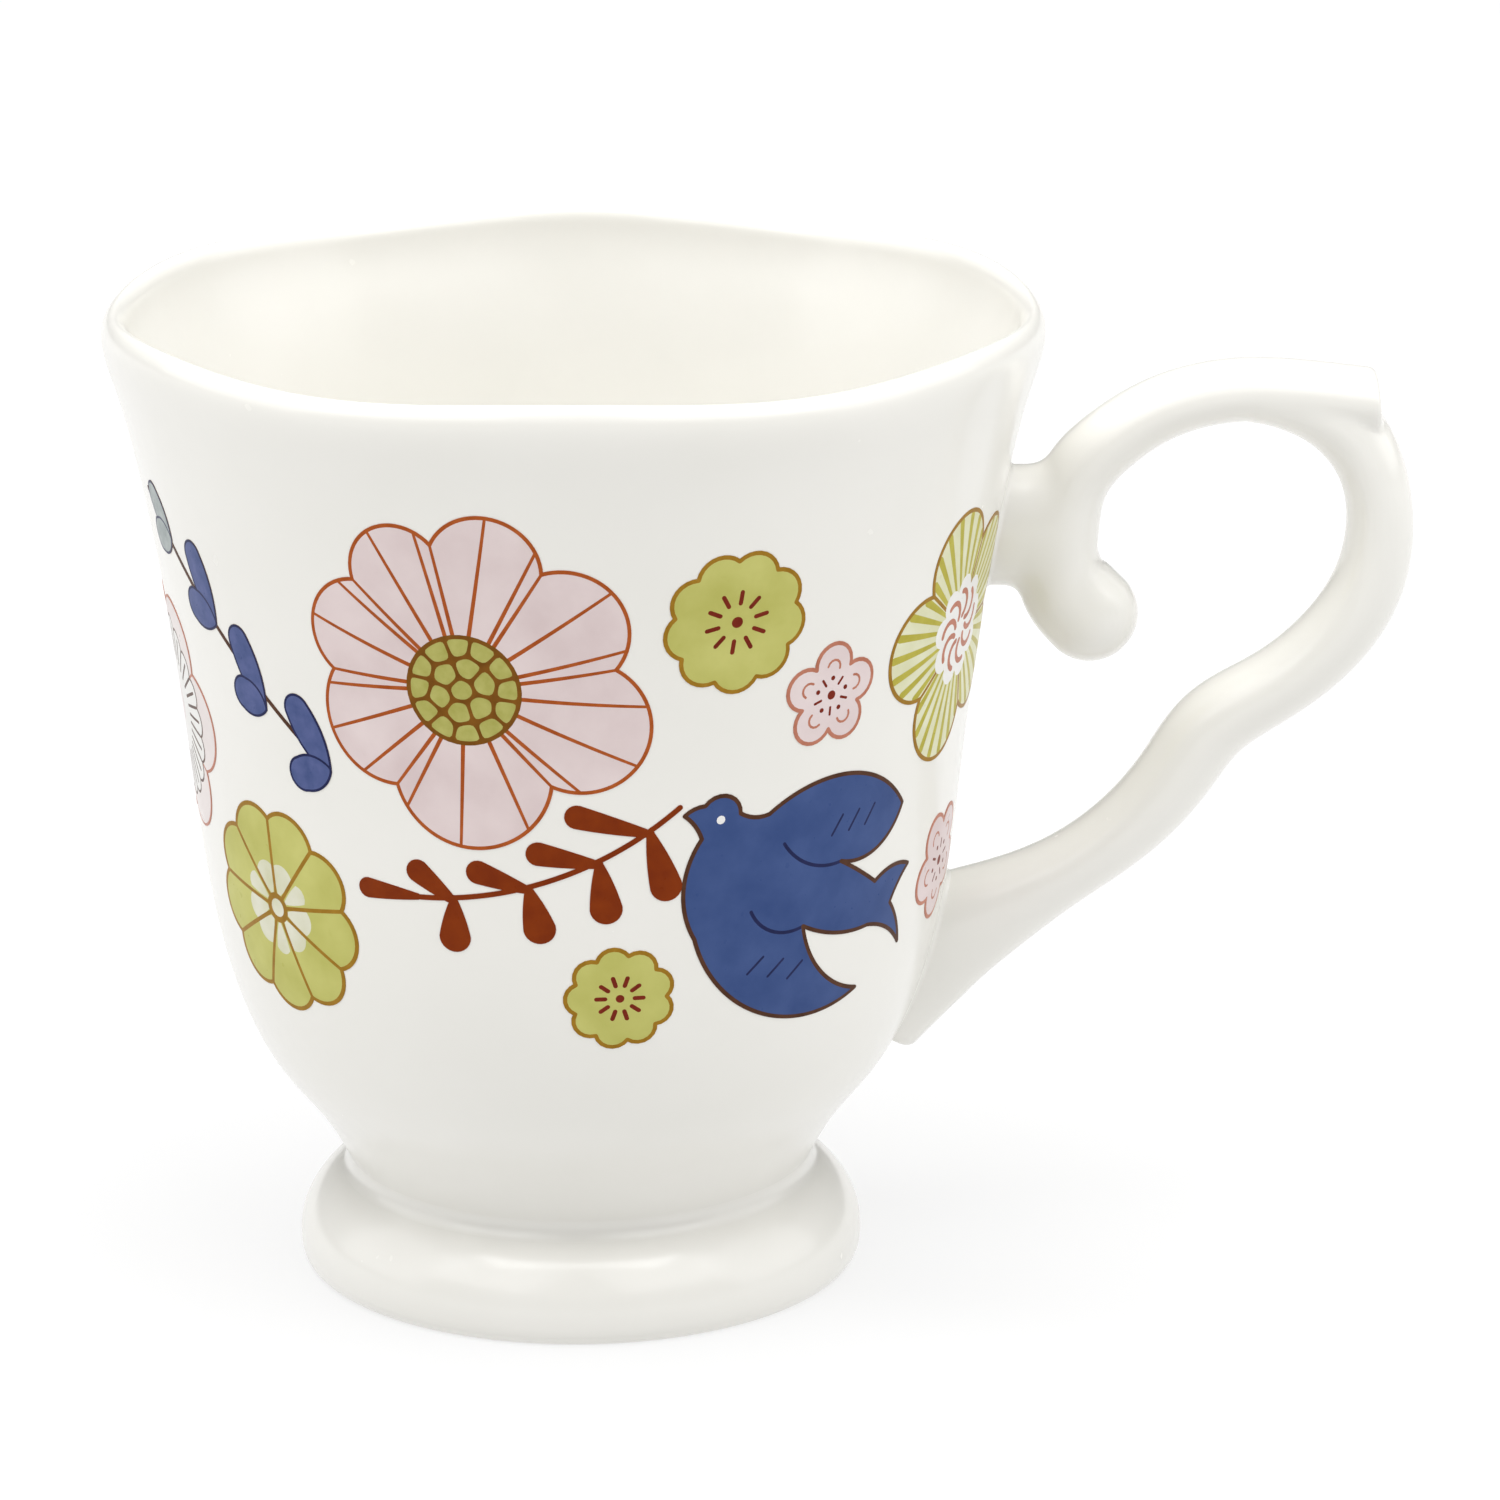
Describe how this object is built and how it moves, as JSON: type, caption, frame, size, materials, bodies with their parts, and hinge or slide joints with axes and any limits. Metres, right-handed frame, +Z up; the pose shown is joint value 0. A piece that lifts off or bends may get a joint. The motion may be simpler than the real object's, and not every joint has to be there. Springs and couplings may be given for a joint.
{
  "type": "teacup",
  "caption": "Footed porcelain teacup with a flared wavy rim, a scroll handle with a small thumb corner, and fired floral and bird transfers round the bowl.",
  "frame": {"origin": "centre of the plane that the foot ring rests on", "axes": "+Z up out of the mouth, +X towards the handle, -Y towards the side seen with the handle on the right"},
  "size_m": [0.1229, 0.088, 0.0943],
  "materials": {
    "glazed_porcelain": "clear gloss glaze over warm white porcelain",
    "foot_porcelain": "gloss glaze with a bare, fine matt ring where it rests",
    "glazed_slip": "fired slip under the gloss glaze",
    "blue_enamel": "gloss fired print, dark brown edge",
    "rust_enamel": "gloss fired print",
    "green_enamel": "gloss fired print, brown outlines",
    "pink_enamel": "gloss fired print, rust outlines"
  },
  "bodies": {
    "root": {"bowl": "glazed_porcelain", "foot": "foot_porcelain", "foot_joint_slip": "glazed_slip", "handle": "glazed_porcelain", "lower_handle_joint_slip": "glazed_slip", "transfer_back_blue_bird": "blue_enamel", "transfer_back_blue_sprig": "blue_enamel", "transfer_back_green_blossom": "green_enamel", "transfer_back_green_flower": "green_enamel", "transfer_back_low_pink_blossom": "pink_enamel", "transfer_back_pink_flower": "pink_enamel", "transfer_back_rust_sprig": "rust_enamel", "transfer_back_small_green_blossom": "green_enamel", "transfer_back_small_pink_blossom": "pink_enamel", "transfer_back_striped_flower": "green_enamel", "transfer_front_blue_bird": "blue_enamel", "transfer_front_blue_sprig": "blue_enamel", "transfer_front_green_blossom": "green_enamel", "transfer_front_green_flower": "green_enamel", "transfer_front_low_pink_blossom": "pink_enamel", "transfer_front_pale_flower": "pink_enamel", "transfer_front_pink_flower": "pink_enamel", "transfer_front_rust_sprig": "rust_enamel", "transfer_front_small_green_blossom": "green_enamel", "transfer_front_small_pink_blossom": "pink_enamel", "transfer_front_striped_flower": "green_enamel", "upper_handle_joint_slip": "glazed_slip"}
  },
  "joints": []
}
